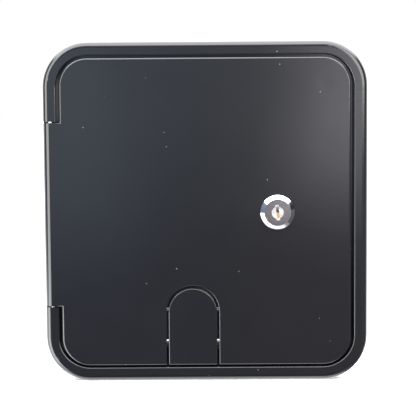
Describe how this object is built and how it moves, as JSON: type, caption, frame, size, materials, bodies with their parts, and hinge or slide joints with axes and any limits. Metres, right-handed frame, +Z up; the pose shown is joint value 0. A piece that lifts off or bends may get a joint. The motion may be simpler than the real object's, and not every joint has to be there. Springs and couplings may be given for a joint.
{
  "type": "power cord hatch",
  "caption": "Square wall hatch with a rounded frame, a key-locked lid hinged at its left side and an arched cord flap at its bottom edge.",
  "frame": {"origin": "middle of the frame, on the plane of the wall that the frame's back lies on", "axes": "+Z up the wall, +Y into the wall, so the lid faces -Y; +X to the right of someone facing the lid"},
  "size_m": [0.19, 0.041, 0.2],
  "materials": {
    "black_plastic": "glossy injection-moulded black plastic",
    "seal_rubber": "soft matt black rubber",
    "pin_steel": "drawn stainless steel",
    "bright_chrome": "polished chrome plate",
    "satin_nickel": "satin nickel plate on die-cast zinc",
    "zinc_steel": "zinc-plated steel",
    "key_brass": "plain brass"
  },
  "bodies": {
    "frame": {"frame": "black_plastic", "lid_seal": "seal_rubber", "hinge_pin_upper": "pin_steel", "hinge_pin_lower": "pin_steel"},
    "lid": {"lid": "black_plastic", "lock_housing": "bright_chrome", "lock_washer": "zinc_steel", "lock_nut": "zinc_steel", "flap_pin": "pin_steel"},
    "cord_flap": {"cord_flap": "black_plastic"},
    "lock_plug": {"lock_plug": "satin_nickel", "lock_face_cap": "bright_chrome", "key_shutter": "key_brass", "lock_cam": "zinc_steel", "cam_screw": "zinc_steel"}
  },
  "joints": [
    {"name": "lid_hinge", "type": "hinge", "parent": "frame", "child": "lid", "pos_m": [-0.0904, -0.0084, -0.001], "axis": [0, 0, -1], "range_deg": [0, 170]},
    {"name": "flap_hinge", "type": "hinge", "parent": "lid", "child": "cord_flap", "pos_m": [-0.008, -0.0086, -0.0587], "axis": [-1, 0, 0], "range_deg": [0, 80]},
    {"name": "lock_turn", "type": "hinge", "parent": "lid", "child": "lock_plug", "pos_m": [0.042, 0, 0], "axis": [0, 1, 0], "range_deg": [0, 90]}
  ]
}
